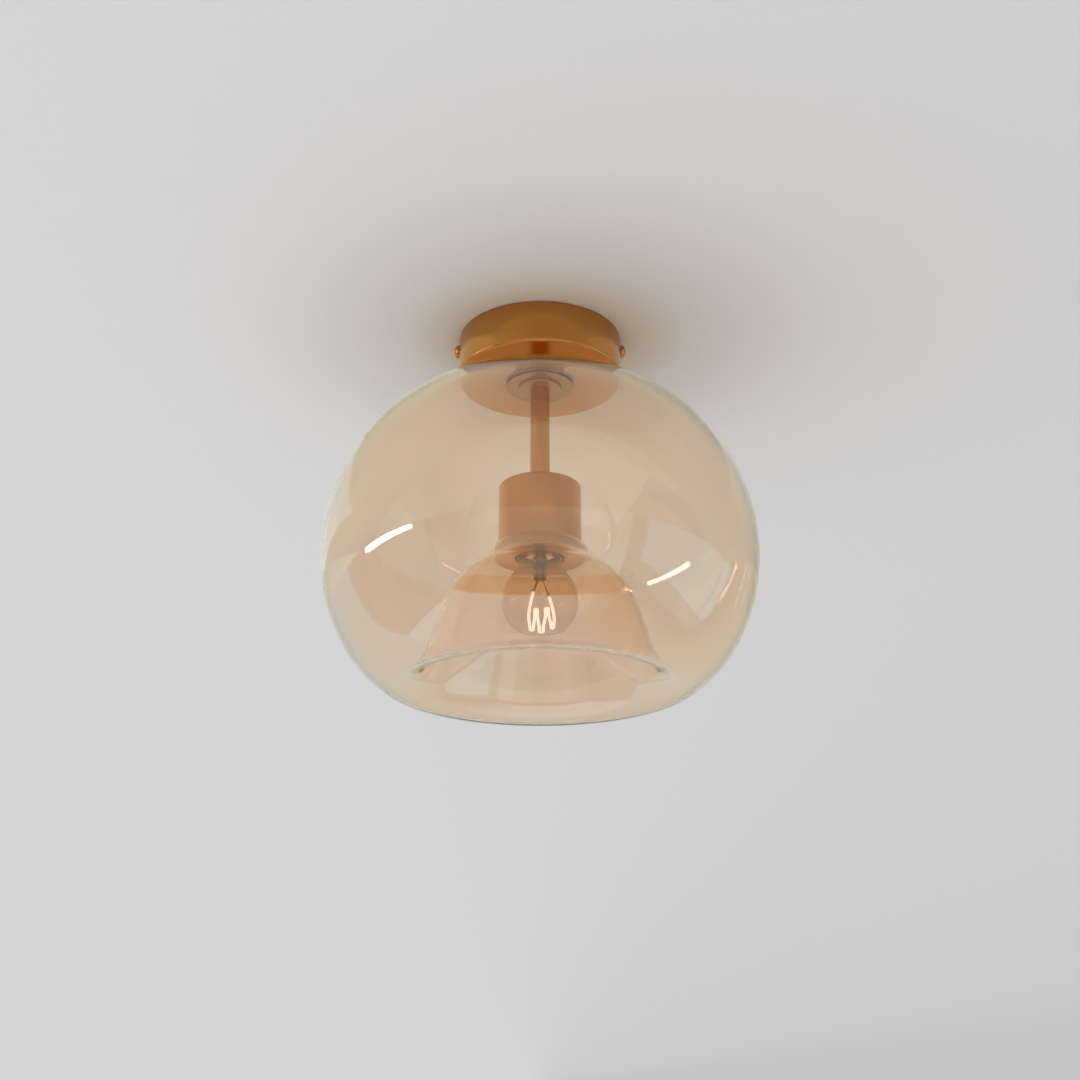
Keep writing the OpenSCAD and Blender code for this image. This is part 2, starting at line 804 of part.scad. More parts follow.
module earth_wire() {
  color("#6fa53a")
    swept_tube(smooth_path(earth_wire_route, 4), wire_d / 2, 8);
}

// Cup and lampholder

module cup_nipple() {
  color(steel_colour)
    tube(nipple_r, nipple_bore / 2, nipple_low_z, cup_top_z + nipple_grip);
}

module cup() {
  color(brass_colour)
    rotate_extrude()
      difference() {
        mirror([0, 1])
          drum(cup_r, -cup_top_z, -ring_floor_z, cup_edge_r);
        mirror([0, 1])
          drum(cup_r - cup_wall, -cup_under_z, -ring_floor_z + 1, cup_edge_r - cup_wall);
        translate([0, cup_under_z - 1])
          square([clamp_bore_r, cup_wall + 2]);
      }
}

module cup_ring() {
  color(brass_colour)
    rotate_extrude()
      difference() {
        union() {
          drum(ring_d / 2, cup_low_z, cup_low_z + ring_h - ring_edge_r, ring_edge_r);
          translate([0, cup_low_z + ring_h - ring_edge_r])
            square([ring_d / 2 - ring_edge_r, ring_edge_r]);
          translate([ring_d / 2 - ring_edge_r, cup_low_z + ring_h - ring_edge_r])
            circle(r = ring_edge_r);
        }
        translate([0, cup_low_z - 1])
          square([ring_hole_d / 2, ring_h + 2]);
        translate([0, ring_floor_z])
          square([cup_r + fit_gap, ring_h + 1]);
      }
}

module cup_nut() {
  color(steel_colour)
    hex_nut(hex_af, clamp_bore_r, holder_top_z, cup_under_z);
}

module holder_cap() {
  color(black_colour)
    difference() {
      peg(holder_r, holder_mouth_z, holder_top_z);
      peg(holder_r - holder_wall, holder_mouth_z - 1, holder_top_z - holder_top);
      peg(clamp_bore_r, holder_mouth_z, holder_top_z + 1);
    }
}

module contact_block() {
  color(nylon_colour)
    difference() {
      peg(contact_block_r, block_low_z, block_top_z);
      peg(rivet_d / 2 + fit_gap, block_low_z - 1, block_top_z + 1);
      for (s = [-1, 1]) {
        translate([0, s * terminal_y, 0])
          peg(wire_d / 2 + free_gap, block_low_z + 1, block_top_z + 1);
        translate([terminal_step, s * terminal_y, 0])
          peg(terminal_screw_d / 2 + fit_gap, block_low_z + 1, block_top_z + 1);
      }
    }
}

module holder_sleeve() {
  color(black_colour)
    rotate_extrude()
      polygon([
        [sleeve_bore / 2, ring_floor_z + free_gap],
        [sleeve_d / 2, ring_floor_z + free_gap],
        [sleeve_d / 2, block_low_z - sleeve_collar],
        [holder_r, block_low_z - sleeve_collar],
        [holder_r, holder_mouth_z],
        [holder_r - holder_wall, holder_mouth_z],
        [holder_r - holder_wall, block_low_z],
        [sleeve_bore / 2, block_low_z]
      ]);
}

module screw_shell() {
  color(steel_colour)
    rotate_extrude()
      difference() {
        translate([shell_r - shell_flange, shell_top_z - shell_len])
          square([shell_flange, shell_len]);
        translate([0, shell_top_z - shell_len - 1])
          square([shell_r - shell_t, shell_len + 1 - shell_t]);
      }
}

module centre_contact() {
  dome_r = (pow(dimple_d / 2, 2) + pow(dimple_h, 2)) / (2 * dimple_h);
  color(brass_colour) {
    peg(rivet_d / 2, block_low_z, block_top_z);
    translate([-tongue_len / 2, -tongue_w / 2, block_low_z - tongue_t])
      cube([tongue_len, tongue_w, tongue_t]);
    rotate_extrude()
      intersection() {
        translate([0, dimple_z])
          square([dimple_d / 2, dimple_h]);
        translate([0, dimple_z + dome_r])
          circle(r = dome_r);
      }
  }
}

module holder_terminal_screws() {
  color(brass_colour)
    for (s = [-1, 1])
      translate([terminal_step, s * terminal_y, 0])
        difference() {
          union() {
            peg(terminal_screw_d / 2, block_top_z - terminal_shank_len, block_top_z);
            peg(terminal_head_d / 2, block_top_z, block_top_z + terminal_head_h);
          }
          translate([-terminal_head_d, -0.3, block_top_z + terminal_head_h - 0.8])
            cube([2 * terminal_head_d, 0.6, 2]);
        }
}

// Screw-in globe lamp with a flexible filament

module lamp_globe() {
  color(clear_colour, 0.4)
    rotate_extrude()
      union() {
        arc_wall([0, globe_z], globe_r, globe_wall, -90, fillet_angle);
        arc_wall(
          [fillet_x, fillet_z], neck_fillet + globe_wall, globe_wall, 180, 180 + fillet_angle
        );
        translate([neck_r - globe_wall, fillet_z])
          square([globe_wall, neck_top_z - fillet_z]);
      }
}

module lamp_cap() {
  color(steel_colour)
    rotate_extrude()
      difference() {
        translate([insulator_d / 2 - 1, cap_low_z])
          square([cap_d / 2 - insulator_d / 2 + 1, cap_top_z - cap_low_z]);
        translate([0, cap_low_z - 1])
          square([cap_d / 2 - cap_t, cap_top_z - cap_low_z + 1 - cap_t]);
      }
}

module lamp_insulator() {
  color(black_colour)
    rotate_extrude()
      polygon([
        [0, insulator_top_z],
        [pip_d / 2, insulator_top_z],
        [insulator_d / 2, cap_top_z],
        [0, cap_top_z]
      ]);
}

module lamp_contact() {
  color(steel_colour)
    rotate_extrude()
      mirror([0, 1])
        drum(pip_d / 2 - 0.6, -lamp_top_z, -insulator_top_z, 0.5);
}

module driver_board() {
  color("#3f7a4a")
    difference() {
      union() {
        peg(board_d / 2, board_z - board_t, board_z);
        translate([3.5, 3, 0])
          peg(2.5, board_z, board_z + 3.5);
        translate([-6, -4, board_z])
          cube([5, 3.5, 1.6]);
      }
      for (s = [-1, 1])
        translate([s * lead_gap / 2, 0, 0])
          peg(lead_d / 2 + fit_gap, board_z - board_t - 1, board_z + 1);
    }
}

module lamp_mount() {
  tube_r = mount_tube_d / 2;
  flare_r = neck_r - globe_wall - free_gap;
  color(clear_colour, 0.5)
    difference() {
      union() {
        rotate_extrude()
          polygon([
            [flare_r - 1, neck_top_z], [flare_r, neck_top_z], [tube_r, flare_z], [tube_r, press_top_z],
            [tube_r - 1, press_top_z], [tube_r - 1, flare_z]
          ]);
        translate([-press_w / 2, -press_t / 2, press_z])
          cube([press_w, press_t, press_h]);
        rotate_extrude()
          intersection() {
            translate([0, press_top_z - tube_r])
              square([tube_r, tube_r]);
            translate([0, press_top_z])
              circle(r = tube_r);
          }
      }
      for (s = [-1, 1])
        translate([s * lead_gap / 2, 0, 0])
          peg(lead_d / 2 + fit_gap, press_z - 1, press_top_z + 1);
    }
}

function lead_end(s) = s < 0 ? filament_points[0] : filament_points[len(filament_points) - 1];
function lead_next(s) = s < 0 ? filament_points[1] : filament_points[len(filament_points) - 2];
function clip_axis(s) = unit(lead_next(s) - lead_end(s));
function clip_top(s) = [0, 0, globe_z] + lead_end(s) - clip_len * clip_axis(s);

module lamp_leads() {
  color(steel_colour)
    for (s = [-1, 1]) {
      x = s * lead_gap / 2;
      swept_tube(
        [[x, 0, board_z], [x, 0, lead_low_z + 1], [x + s * 0.15, 0, lead_low_z + 0.2], clip_top(s)],
        lead_d / 2, 10
      );
    }
}

module filament_clips() {
  color(steel_colour)
    for (s = [-1, 1])
      rod(clip_top(s), [0, 0, globe_z] + lead_end(s) - free_gap / 2 * clip_axis(s), filament_d / 2);
}

module filament() {
  color("#ffd9b0")
    translate([0, 0, globe_z])
      swept_tube(smooth_path(filament_points, 4), filament_d / 2, 8);
}

ceiling_bracket();
earth_screw();
earth_lug();
terminal_block();
terminal_inserts();
terminal_screws();
block_screw();
canopy();
canopy_screw_left();
canopy_screw_right();
canopy_nipple();
canopy_nut();
star_washer();
seat_gasket();
glass_shade();
shade_bush();
shade_gasket();
shade_washer();
shade_nut();
stem();
live_wire();
neutral_wire();
earth_wire();
cup_nipple();
cup();
cup_ring();
cup_nut();
holder_cap();
contact_block();
holder_sleeve();
screw_shell();
centre_contact();
holder_terminal_screws();
lamp_globe();
lamp_cap();
lamp_insulator();
lamp_contact();
driver_board();
lamp_mount();
lamp_leads();
filament_clips();
filament();
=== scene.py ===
"""Flush ceiling light with an amber blown shade: its finishes, fine shapes, room and light.

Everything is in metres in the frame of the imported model; sizes in the tables below are millimetres.
"""

import json
from math import atan2, cos, degrees, hypot, pi, radians, sin, sqrt, tau

import bmesh
import bpy
from mathutils import Matrix, Vector


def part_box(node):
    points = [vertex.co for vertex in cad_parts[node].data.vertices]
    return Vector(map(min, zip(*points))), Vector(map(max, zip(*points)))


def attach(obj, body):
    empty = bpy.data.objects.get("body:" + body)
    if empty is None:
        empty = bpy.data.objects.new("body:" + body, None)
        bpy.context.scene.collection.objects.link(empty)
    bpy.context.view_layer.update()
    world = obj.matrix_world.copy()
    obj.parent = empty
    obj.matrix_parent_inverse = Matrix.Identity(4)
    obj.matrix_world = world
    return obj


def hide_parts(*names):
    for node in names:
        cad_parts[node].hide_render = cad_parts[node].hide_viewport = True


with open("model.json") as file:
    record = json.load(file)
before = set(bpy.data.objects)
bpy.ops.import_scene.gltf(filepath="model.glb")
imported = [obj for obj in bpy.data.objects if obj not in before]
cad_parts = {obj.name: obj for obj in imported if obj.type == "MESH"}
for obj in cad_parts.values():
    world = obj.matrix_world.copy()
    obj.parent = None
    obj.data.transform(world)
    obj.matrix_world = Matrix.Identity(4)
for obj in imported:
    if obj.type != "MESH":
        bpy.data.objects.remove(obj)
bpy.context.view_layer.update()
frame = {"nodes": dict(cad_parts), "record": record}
MM = 0.001


# Heights that the pieces share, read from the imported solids, in millimetres

def low(node):
    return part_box(node)[0][2] / MM


def high(node):
    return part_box(node)[1][2] / MM


def half_width(node):
    return (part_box(node)[1][0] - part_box(node)[0][0]) / 2 / MM


# Shapes

def link_piece(name, mesh_data, body, material, stands_for=()):
    """Puts a finished mesh or curve in the scene as one piece of the light."""
    piece = bpy.data.objects.new(name, mesh_data)
    bpy.context.scene.collection.objects.link(piece)
    piece.data.materials.append(material)
    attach(piece, body)
    if stands_for:
        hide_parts(*stands_for)
    return piece


def close_mesh(bm, name, sharp=35):
    """Merges doubles, turns the faces outwards and keeps edges sharper than the angle crisp."""
    bmesh.ops.remove_doubles(bm, verts=bm.verts, dist=1e-6)
    bmesh.ops.recalc_face_normals(bm, faces=bm.faces)
    for face in bm.faces:
        face.smooth = True
    for edge in bm.edges:
        edge.smooth = not edge.is_manifold or edge.calc_face_angle(0) < radians(sharp)
    mesh = bpy.data.meshes.new(name)
    bm.to_mesh(mesh)
    bm.free()
    return mesh


def rounded(corners, steps=6):
    """Outline through (radius, height, fillet) corners, with each fillet drawn as an arc."""
    out = []
    count = len(corners)
    for i, (r, z, fillet) in enumerate(corners):
        here = Vector((r, z))
        if fillet <= 0:
            out.append((r, z))
            continue
        before = (Vector(corners[i - 1][:2]) - here).normalized()
        after = (Vector(corners[(i + 1) % count][:2]) - here).normalized()
        half = before.angle(after) / 2
        middle = here + (before + after).normalized() * fillet / sin(half)
        reach = fillet * cos(half) / sin(half)
        first = here + before * reach - middle
        last = here + after * reach - middle
        turn = first.angle_signed(last)
        for k in range(steps + 1):
            arm = first.copy()
            arm.rotate(Matrix.Rotation(-turn * k / steps, 2))
            out.append(tuple(middle + arm))
    return out


def arc_points(centre, radius, start, end, steps, last_radius=None):
    """Points of an arc from one angle to another, in degrees; its radius may drift on the way."""
    drift = 0 if last_radius is None else last_radius - radius
    out = []
    for k in range(steps + 1):
        share = k / steps
        angle = radians(start + (end - start) * share)
        reach = radius + drift * share
        out.append((centre[0] + reach * cos(angle), centre[1] + reach * sin(angle)))
    return out


def turned(outline, steps=96, closed=True):
    """An outline of (radius, height) points, turned once round the light's axis."""
    bm = bmesh.new()
    verts = [bm.verts.new((max(r, 0) * MM, 0, z * MM)) for r, z in outline]
    first = 0 if closed else 1
    edges = [bm.edges.new((verts[i - 1], verts[i])) for i in range(first, len(verts))]
    bmesh.ops.spin(
        bm, geom=verts + edges, cent=(0, 0, 0), axis=(0, 0, 1), angle=tau,
        steps=steps, use_merge=True,
    )
    return bm


def cut_thread(bm, radius, depth, pitch, low_z, high_z):
    """Rolls a rounded helical thread into the wall at that radius, between two heights."""
    for vert in bm.verts:
        r = hypot(vert.co.x, vert.co.y) / MM
        z = vert.co.z / MM
        if abs(r - radius) < 1.2 and low_z < z < high_z:
            fade = min(1, (z - low_z) / pitch, (high_z - z) / pitch)
            swing = cos(tau * z / pitch - atan2(vert.co.y, vert.co.x)) * depth / 2 * fade
            vert.co.x *= (r + swing) / r
            vert.co.y *= (r + swing) / r


def levels(r, start, end, step):
    """Points up or down a straight wall, close enough together to carry a thread."""
    count = max(1, round(abs(end - start) / step))
    return [(r, start + (end - start) * k / count) for k in range(count + 1)]


def wire_curve(name, points, radius, smooth=True, caps=True):
    """A round wire through points in millimetres."""
    data = bpy.data.curves.new(name, "CURVE")
    data.dimensions = "3D"
    data.bevel_depth = radius * MM
    data.bevel_resolution = 5
    data.resolution_u = 10
    data.use_fill_caps = caps
    spline = data.splines.new("BEZIER")
    spline.bezier_points.add(len(points) - 1)
    for place, knot in zip(points, spline.bezier_points):
        knot.co = Vector(place) * MM
        knot.handle_left_type = knot.handle_right_type = "AUTO" if smooth else "VECTOR"
    return data


# Finishes

def linear(code, alpha=1.0):
    """An sRGB hex colour as Blender's linear numbers."""
    parts = [int(code[i : i + 2], 16) / 255 for i in (1, 3, 5)]
    return tuple(
        c / 12.92 if c <= 0.04045 else ((c + 0.055) / 1.055) ** 2.4 for c in parts
    ) + (alpha,)


def add(tree, kind, settings=None, values=None, links=None):
    """Adds one node with its settings, socket values and incoming links."""
    node = tree.nodes.new(kind)
    for name, value in (settings or {}).items():
        setattr(node, name, value)
    for name, value in (values or {}).items():
        node.inputs[name].default_value = value
    for name, socket in (links or {}).items():
        tree.links.new(socket, node.inputs[name])
    return node


def finish_of(
    name, colour, second, rough, rough_spread, patch_mm, grain_mm, relief_mm=0.0,
    stretch=(1, 1, 1), metallic=0.0, **sockets
):
    """A finish with slow colour patches and a fine grain in its gloss and relief.

    colour and second are the two ends of the patches; patch_mm and grain_mm are real sizes.
    """
    material = bpy.data.materials.new(name)
    material.use_nodes = True
    tree = material.node_tree
    tree.nodes.clear()
    place = add(tree, "ShaderNodeTexCoord")
    spread = add(
        tree, "ShaderNodeMapping", values={"Scale": stretch}, links={"Vector": place.outputs["Object"]}
    )
    patches = add(
        tree, "ShaderNodeTexNoise", values={"Scale": 1000 / patch_mm, "Detail": 3.0},
        links={"Vector": place.outputs["Object"]},
    )
    tone = add(
        tree, "ShaderNodeMix", {"data_type": "RGBA"},
        links={"Factor": patches.outputs["Fac"]},
    )
    tone.inputs[6].default_value = linear(colour)
    tone.inputs[7].default_value = linear(second)
    grain = add(
        tree, "ShaderNodeTexNoise", values={"Scale": 1000 / grain_mm, "Detail": 4.0},
        links={"Vector": spread.outputs["Vector"]},
    )
    gloss = add(
        tree, "ShaderNodeMapRange",
        values={"To Min": max(rough - rough_spread, 0), "To Max": rough + rough_spread},
        links={"Value": grain.outputs["Fac"]},
    )
    surface = add(
        tree, "ShaderNodeBsdfPrincipled", values={"Metallic": metallic, **sockets},
        links={"Base Color": tone.outputs[2], "Roughness": gloss.outputs["Result"]},
    )
    if relief_mm:
        relief = add(
            tree, "ShaderNodeBump", values={"Strength": 1.0, "Distance": relief_mm * MM},
            links={"Height": grain.outputs["Fac"]},
        )
        tree.links.new(relief.outputs["Normal"], surface.inputs["Normal"])
    add(tree, "ShaderNodeOutputMaterial", links={"Surface": surface.outputs["BSDF"]})
    return material


# Satin brass: lathe-turned, brushed round its axis and lacquered, so it mirrors softly and warmly.
satin_brass = finish_of(
    "satin_lacquered_brass", "#d49955", "#cd9251", 0.2, 0.05, 30, 1.6, 0.002,
    stretch=(0.25, 0.25, 6), metallic=1.0,
)
# Bare turned brass: yellower and plainer, on contacts and screws that are never seen.
bare_brass = finish_of(
    "bare_turned_brass", "#d8b25e", "#c79e4b", 0.3, 0.08, 6, 0.6, 0.003, metallic=1.0
)
# Zinc-plated steel: pale and slightly cloudy from the plating bath.
zinc_steel = finish_of(
    "zinc_plated_steel", "#b9bcc0", "#a7abb0", 0.34, 0.08, 9, 1.2, 0.004, metallic=1.0
)
# Dull nickel: a warm, tarnished plate with a soft mirror.
dull_nickel = finish_of(
    "dull_nickel_plate", "#c8a585", "#bc997a", 0.28, 0.06, 8, 0.8, 0.002, metallic=1.0
)
# Amber glass: blown and coated, clear, amber to look through and cool where it mirrors.
amber_glass = finish_of(
    "amber_blown_glass", "#fdf0e2", "#fdefe0", 0.0, 0.0, 60, 20, 0.0,
    **{
        "Transmission Weight": 1.0, "IOR": 1.15, "Coat Weight": 1.0, "Coat IOR": 1.9,
        "Coat Roughness": 0.0,
    },
)
# Lamp glass: thin blown glass with a breath of smoke.
lamp_glass = finish_of(
    "smoked_lamp_glass", "#fbeedd", "#f9ebda", 0.0, 0.0, 20, 8, 0.0,
    **{"Transmission Weight": 1.0, "IOR": 1.5},
)
# Pressed glass of the mount: clear and a little uneven.
mount_glass = finish_of(
    "pressed_mount_glass", "#f6f4ee", "#f0ede6", 0.02, 0.02, 4, 1.5, 0.01,
    **{"Transmission Weight": 1.0, "IOR": 1.5},
)
# Moulded nylon: milky white with a soft sheen.
white_nylon = finish_of("moulded_white_nylon", "#e9e6dc", "#dfdbd0", 0.45, 0.08, 8, 0.5, 0.01)
# Silicone sheet: translucent milky gaskets.
silicone = finish_of("milky_silicone_sheet", "#cfccc4", "#c4c0b7", 0.5, 0.06, 6, 0.7, 0.01)
# Phenolic: black moulded resin of the lampholder.
phenolic = finish_of("black_phenolic_moulding", "#141414", "#1c1b1a", 0.35, 0.08, 7, 0.6, 0.01)
# Steatite: the unglazed ceramic that carries the contacts.
steatite = finish_of("unglazed_steatite", "#ece7da", "#e0dacb", 0.6, 0.1, 5, 0.4, 0.02)
# Rolled shell: the thin metal of the lamp's screw cap.
rolled_shell = finish_of(
    "rolled_nickel_shell", "#c6c3bc", "#b7b3ab", 0.26, 0.08, 5, 0.6, 0.003, metallic=1.0
)
# Vitreous insulator: black glass between cap and contact.
vitrite = finish_of("black_vitrite", "#070707", "#101010", 0.2, 0.05, 3, 0.6, 0.006)
# Solder: dull and lumpy.
solder = finish_of("dull_solder", "#b3b3b0", "#a0a09c", 0.38, 0.1, 1.6, 0.5, 0.03, metallic=1.0)
# Board: green solder mask over woven laminate.
board_green = finish_of("green_solder_mask", "#1f5c34", "#2a6b3e", 0.32, 0.06, 3, 0.5, 0.01)
# Sleeving: silicone wire jackets, slightly dusty.
brown_sleeve = finish_of("brown_wire_sleeve", "#5a3720", "#4c2e1b", 0.45, 0.08, 4, 0.5, 0.01)
blue_sleeve = finish_of("blue_wire_sleeve", "#2a5ca8", "#244f93", 0.45, 0.08, 4, 0.5, 0.01)
green_sleeve = finish_of("green_wire_sleeve", "#6c9a2c", "#d2c23a", 0.45, 0.08, 2.4, 0.5, 0.01)
# Lead wire: drawn nickel-iron, darkened near the seal.
lead_wire = finish_of("drawn_lead_wire", "#9c8260", "#7c654a", 0.35, 0.1, 2, 0.4, 0.002, metallic=1.0)
# Phosphor coat: the soft filament's pale coat glows white all over, and the amber glass warms it.
phosphor = finish_of(
    "glowing_phosphor_coat", "#f6dcc0", "#f1d3b4", 0.5, 0.05, 3, 0.5, 0.01,
    **{"Emission Color": linear("#dfe9ff"), "Emission Strength": 1.6},
)

SLOT_FINISH = {
    "satin_brass": satin_brass, "plain_brass": bare_brass, "zinc_steel": zinc_steel,
    "nickel": dull_nickel, "amber_glass": amber_glass, "lamp_glass": lamp_glass,
    "mount_glass": mount_glass, "white_nylon": white_nylon, "clear_silicone": silicone,
    "black_phenolic": phenolic, "ceramic": steatite, "brown_sleeve": brown_sleeve,
    "blue_sleeve": blue_sleeve, "green_sleeve": green_sleeve, "shell_metal": rolled_shell,
    "black_glass": vitrite, "solder": solder, "board_green": board_green,
    "lead_wire": lead_wire, "clip_metal": rolled_shell, "filament_coat": phosphor,
}
node_slot = {part["node"]: part["material_slot"] for part in frame["record"]["subparts"]}
for name, solid in frame["nodes"].items():
    solid.data.materials.clear()
    solid.data.materials.append(SLOT_FINISH[node_slot[name]])


# Blown shade: five outer arcs that run into each other, a fold at the lip and a bell inside it

wall = 2.4
seat_z = high("glass_shade")
shoulder_r, crown_r, belly_r, tuck_r, lip_r = 110.6, 165.0, 105.0, 65.0, 13.4
shoulder_turn, belly_turn, tuck_turn, lip_turn = 55.0, 33.6, 25.4, 31.0
seat_r = 22.0
widest = 127.2


def next_centre(centre, radius, next_radius, angle):
    """Centre of the arc that carries on smoothly from another at that angle."""
    return (
        centre[0] + (radius - next_radius) * cos(radians(angle)),
        centre[1] + (radius - next_radius) * sin(radians(angle)),
    )


crown_x = widest - shoulder_r + (shoulder_r - crown_r) * cos(radians(shoulder_turn))
rise = (shoulder_r - crown_r) * sin(radians(shoulder_turn)) + sqrt(
    crown_r**2 - (seat_r - crown_x) ** 2
)
belly_z = seat_z - rise
shoulder_c = (widest - shoulder_r, belly_z)
crown_c = next_centre(shoulder_c, shoulder_r, crown_r, shoulder_turn)
crown_end = degrees(atan2(seat_z - crown_c[1], seat_r - crown_c[0]))
belly_c = (widest - belly_r, belly_z)
tuck_c = next_centre(belly_c, belly_r, tuck_r, -belly_turn)
lip_start = -belly_turn - tuck_turn
lip_c = next_centre(tuck_c, tuck_r, lip_r, lip_start)
lip_end = lip_start - lip_turn
shade_arcs = [
    (crown_c, crown_r, crown_end, shoulder_turn, 12),
    (shoulder_c, shoulder_r, shoulder_turn, 0, 26),
    (belly_c, belly_r, 0, -belly_turn, 16),
    (tuck_c, tuck_r, -belly_turn, lip_start, 12),
    (lip_c, lip_r, lip_start, lip_end, 12),
]
# From the lip the glass turns up again inside, as a bell that reaches the ring of the lampholder
fold_r, flank_tilt = 17.5, 17.0
fold_end = flank_tilt - 180
fold_c = next_centre(lip_c, lip_r, fold_r, lip_end)
bell_r, bell_end = 39.0, 62.0
bell_c = (16.3, -184.4)
neck_arc_r, neck_arc_end, neck_inner, neck_wall = 14.4, 8.0, 24.9, 1.2
bell_top = (
    bell_c[0] + bell_r * cos(radians(bell_end)),
    bell_c[1] + bell_r * sin(radians(bell_end)),
)
neck_c = (
    bell_top[0] + neck_arc_r * cos(radians(bell_end)),
    bell_top[1] + neck_arc_r * sin(radians(bell_end)),
)
neck_top = high("cup_ring") + 0.1
# Each arc of the bell: centre, radius of the face towards the lamp, first and last angle, steps,
# and how far the other face lies from it at the first and at the last angle
bell_arcs = [
    (fold_c, fold_r, lip_end, fold_end, 10, -wall, -wall),
    (bell_c, bell_r, flank_tilt, bell_end, 14, wall, neck_wall),
    (neck_c, neck_arc_r, 180 + bell_end, 180 + neck_arc_end, 10, -neck_wall, -neck_wall),
]
hole_r = 6.5
seat_ease = 0.05
outline = [(hole_r, seat_z), (seat_r - seat_ease, seat_z)]
for centre, radius, start, end, steps in shade_arcs:
    outline += arc_points(centre, radius, start, end, steps)[1:]
for centre, radius, start, end, steps, _, _ in bell_arcs:
    outline += arc_points(centre, radius, start, end, steps)[1:]
outline += [
    (neck_inner + 1.6, neck_top), (neck_inner, neck_top), (neck_inner, neck_top + 0.8),
    (neck_inner + 0.3, neck_top + 1.1), (neck_inner + 1.7, neck_top + 1.1),
    (neck_inner + 2.7, neck_top + 0.6),
]
for centre, radius, start, end, steps, first, last in reversed(bell_arcs):
    outline += arc_points(centre, radius + last, end, start, steps, radius + first)
for centre, radius, start, end, steps in reversed(shade_arcs):
    outline += arc_points(centre, radius - wall, end, start, steps)[1:]
outline += [(seat_r - 0.8, seat_z - wall), (hole_r, seat_z - wall)]
link_piece(
    "blown_shade", close_mesh(turned(outline, 180), "blown_shade", 60), "fixture",
    amber_glass, ["glass_shade"],
)


# Canopy: spun shell, with its rolled lower edge and the centre hole

bore = 5.0
sheet = 1.2
edge_ease = 0.2
canopy_r = half_width("canopy")
canopy_low = low("canopy")
rolled_edge = 1.9
canopy_shell = turned(
    rounded(
        [
            (bore, canopy_low, 0), (canopy_r, canopy_low, rolled_edge), (canopy_r, 0, edge_ease),
            (canopy_r - sheet, 0, edge_ease), (canopy_r - sheet, canopy_low + sheet, 0.8),
            (bore, canopy_low + sheet, 0),
        ]
    ),
    160,
)
link_piece(
    "spun_canopy", close_mesh(canopy_shell, "spun_canopy"), "fixture", satin_brass,
    ["canopy"],
)

# Stem, cup and the ring round its mouth

stem_low, stem_high = low("stem"), high("stem")
stem_r = half_width("stem")
link_piece(
    "stem_tube",
    close_mesh(
        turned(
            rounded(
                [
                    (bore, stem_low, 0), (stem_r, stem_low, edge_ease),
                    (stem_r, stem_high, edge_ease), (bore, stem_high, 0),
                ],
                3,
            ),
            72,
        ),
        "stem_tube",
    ),
    "fixture", satin_brass, ["stem"],
)
cup_r, cup_high, cup_low = half_width("cup"), high("cup"), low("cup")
link_piece(
    "holder_cup",
    close_mesh(
        turned(
            rounded(
                [
                    (bore, cup_high, 0), (bore, cup_high - sheet, 0),
                    (cup_r - sheet, cup_high - sheet, 0.3), (cup_r - sheet, cup_low, 0.1),
                    (cup_r, cup_low, 0.1), (cup_r, cup_high, 1.4),
                ]
            ),
            128,
        ),
        "holder_cup",
    ),
    "fixture", satin_brass, ["cup"],
)
ring_r, ring_low, ring_high = half_width("cup_ring"), low("cup_ring"), high("cup_ring")
ring_bore, ring_ease, ring_fit = 14.6, 1.0, 0.1
link_piece(
    "mouth_ring",
    close_mesh(
        turned(
            rounded(
                [
                    (ring_bore, ring_low, 0.3), (ring_r, ring_low, ring_ease),
                    (ring_r, ring_high, ring_ease), (cup_r + ring_fit, ring_high, 0.1),
                    (cup_r + ring_fit, ring_low + sheet, 0.1), (ring_bore, ring_low + sheet, 0.2),
                ]
            ),
            128,
        ),
        "mouth_ring",
    ),
    "fixture", satin_brass, ["cup_ring"],
)

# Washer and round nut that clamp the glass

washer_low, washer_high = low("shade_washer"), high("shade_washer")
washer_r = half_width("shade_washer")
link_piece(
    "clamp_washer",
    close_mesh(
        turned(
            rounded(
                [
                    (bore, washer_low, 0), (washer_r, washer_low, 0.3),
                    (washer_r, washer_high, 0.1), (bore, washer_high, 0),
                ],
                4,
            ),
            96,
        ),
        "clamp_washer",
    ),
    "fixture", dull_nickel, ["shade_washer"],
)
nut_low, nut_high, nut_r = low("shade_nut"), high("shade_nut"), half_width("shade_nut")
round_nut = turned(
    rounded(
        [
            (bore, nut_low, 0), (nut_r, nut_low, 0.7), (nut_r, nut_high, 0.1), (bore, nut_high, 0),
        ],
        4,
    ),
    144,
)
# Knurl on the nut's edge: shallow grooves for the fingers
grooves, groove_depth = 48, 0.012
for vert in round_nut.verts:
    reach = hypot(vert.co.x, vert.co.y)
    if reach > (nut_r - 0.3) * MM:
        dip = 1 - groove_depth * (1 + cos(grooves * atan2(vert.co.y, vert.co.x))) / 2
        vert.co.x *= dip
        vert.co.y *= dip
link_piece(
    "clamp_nut", close_mesh(round_nut, "clamp_nut"), "fixture", dull_nickel, ["shade_nut"]
)


# Side screws: domed heads with a driver slot, and a threaded shank

